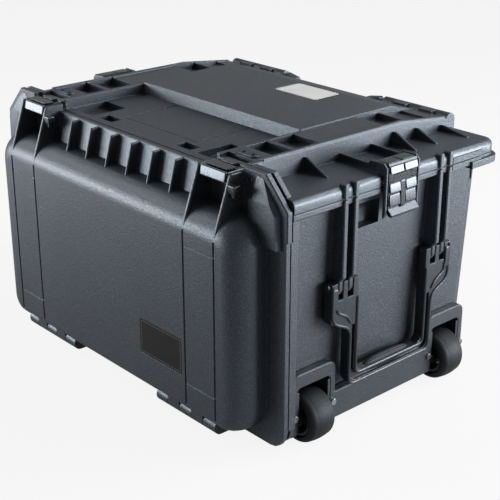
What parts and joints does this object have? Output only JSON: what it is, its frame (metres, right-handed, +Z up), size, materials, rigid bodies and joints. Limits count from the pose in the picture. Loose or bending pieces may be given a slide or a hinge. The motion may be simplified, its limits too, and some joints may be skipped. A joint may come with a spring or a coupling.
{
  "type": "wheeled hard equipment case",
  "caption": "Moulded hard case with a hinged lid, a drop-down front cover, draw latches, bail handles on its ends and wheels under one end.",
  "frame": {"origin": "middle of the bounding box in plan, on the floor", "axes": "+X along the long side towards the wheels, -Y towards the front cover, +Z up"},
  "size_m": [0.651, 0.4512, 0.3792],
  "materials": {
    "shell": "fine moulded texture",
    "handle": "fine moulded texture",
    "latch": "satin",
    "steel": "stainless, satin",
    "tyre": "smooth solid tyre",
    "hub": "satin",
    "seal": "matte",
    "plate": "smooth",
    "label": "smooth"
  },
  "bodies": {
    "body": {"body_shell": "shell", "wheel_carrier": "shell", "carrier_screw_1": "steel", "carrier_screw_2": "steel", "carrier_screw_3": "steel", "carrier_screw_4": "steel", "wheel_axle_front": "steel", "wheel_axle_back": "steel", "lid_seal": "seal", "lid_hinge_pin_right": "steel", "lid_hinge_pin_left": "steel", "cover_hinge_pin_right": "steel", "cover_hinge_pin_left": "steel", "handle_pin_right_front": "steel", "handle_pin_right_back": "steel", "handle_pin_left_front": "steel", "handle_pin_left_back": "steel"},
    "lid": {"lid_shell": "shell", "lid_label": "label", "front_latch_pin_right": "steel", "front_latch_pin_left": "steel", "end_latch_pin_right": "steel", "end_latch_pin_left": "steel", "padlock_plate_right": "steel", "padlock_plate_left": "steel"},
    "cover": {"front_cover": "shell", "cover_seal": "seal", "nameplate": "plate"},
    "front_latch_r": {"front_latch_right": "latch"},
    "front_latch_l": {"front_latch_left": "latch"},
    "end_link_r": {"end_latch_link_right": "latch", "lever_pin_right": "steel"},
    "end_link_l": {"end_latch_link_left": "latch", "lever_pin_left": "steel"},
    "end_lever_r": {"end_latch_lever_right": "latch"},
    "end_lever_l": {"end_latch_lever_left": "latch"},
    "handle_r": {"handle_right": "handle"},
    "handle_l": {"handle_left": "handle"},
    "wheel_f": {"tyre_front": "tyre", "wheel_hub_front": "hub"},
    "wheel_b": {"tyre_back": "tyre", "wheel_hub_back": "hub"}
  },
  "joints": [
    {"name": "lid_hinge", "type": "hinge", "parent": "body", "child": "lid", "pos_m": [0, 0.2161, 0.3595], "axis": [-1, 0, 0], "range_deg": [0, 105]},
    {"name": "cover_hinge", "type": "hinge", "parent": "body", "child": "cover", "pos_m": [0, -0.2096, 0.0245], "axis": [1, 0, 0], "range_deg": [0, 90]},
    {"name": "front_latch_right", "type": "hinge", "parent": "lid", "child": "front_latch_r", "pos_m": [0.2022, -0.1635, 0.369], "axis": [-1, 0, 0], "range_deg": [0, 100]},
    {"name": "front_latch_left", "type": "hinge", "parent": "lid", "child": "front_latch_l", "pos_m": [-0.2022, -0.1635, 0.369], "axis": [-1, 0, 0], "range_deg": [0, 100]},
    {"name": "end_latch_link_right", "type": "hinge", "parent": "lid", "child": "end_link_r", "pos_m": [0.3, 0.01675, 0.357], "axis": [0, -1, 0], "range_deg": [0, 100]},
    {"name": "end_latch_link_left", "type": "hinge", "parent": "lid", "child": "end_link_l", "pos_m": [-0.3, 0.01675, 0.357], "axis": [0, 1, 0], "range_deg": [0, 100]},
    {"name": "end_latch_lever_right", "type": "hinge", "parent": "end_link_r", "child": "end_lever_r", "pos_m": [0.316, 0.01675, 0.3425], "axis": [0, -1, 0], "range_deg": [0, 50]},
    {"name": "end_latch_lever_left", "type": "hinge", "parent": "end_link_l", "child": "end_lever_l", "pos_m": [-0.316, 0.01675, 0.3425], "axis": [0, 1, 0], "range_deg": [0, 50]},
    {"name": "handle_right", "type": "hinge", "parent": "body", "child": "handle_r", "pos_m": [0.3035, 0.01675, 0.216], "axis": [0, -1, 0], "range_deg": [0, 95]},
    {"name": "handle_left", "type": "hinge", "parent": "body", "child": "handle_l", "pos_m": [-0.3035, 0.01675, 0.216], "axis": [0, 1, 0], "range_deg": [0, 95]},
    {"name": "wheel_front", "type": "hinge", "parent": "body", "child": "wheel_f", "pos_m": [0.289, -0.1165, 0.0358], "axis": [0, 1, 0], "continuous": true},
    {"name": "wheel_back", "type": "hinge", "parent": "body", "child": "wheel_b", "pos_m": [0.289, 0.1465, 0.0358], "axis": [0, 1, 0], "continuous": true}
  ]
}
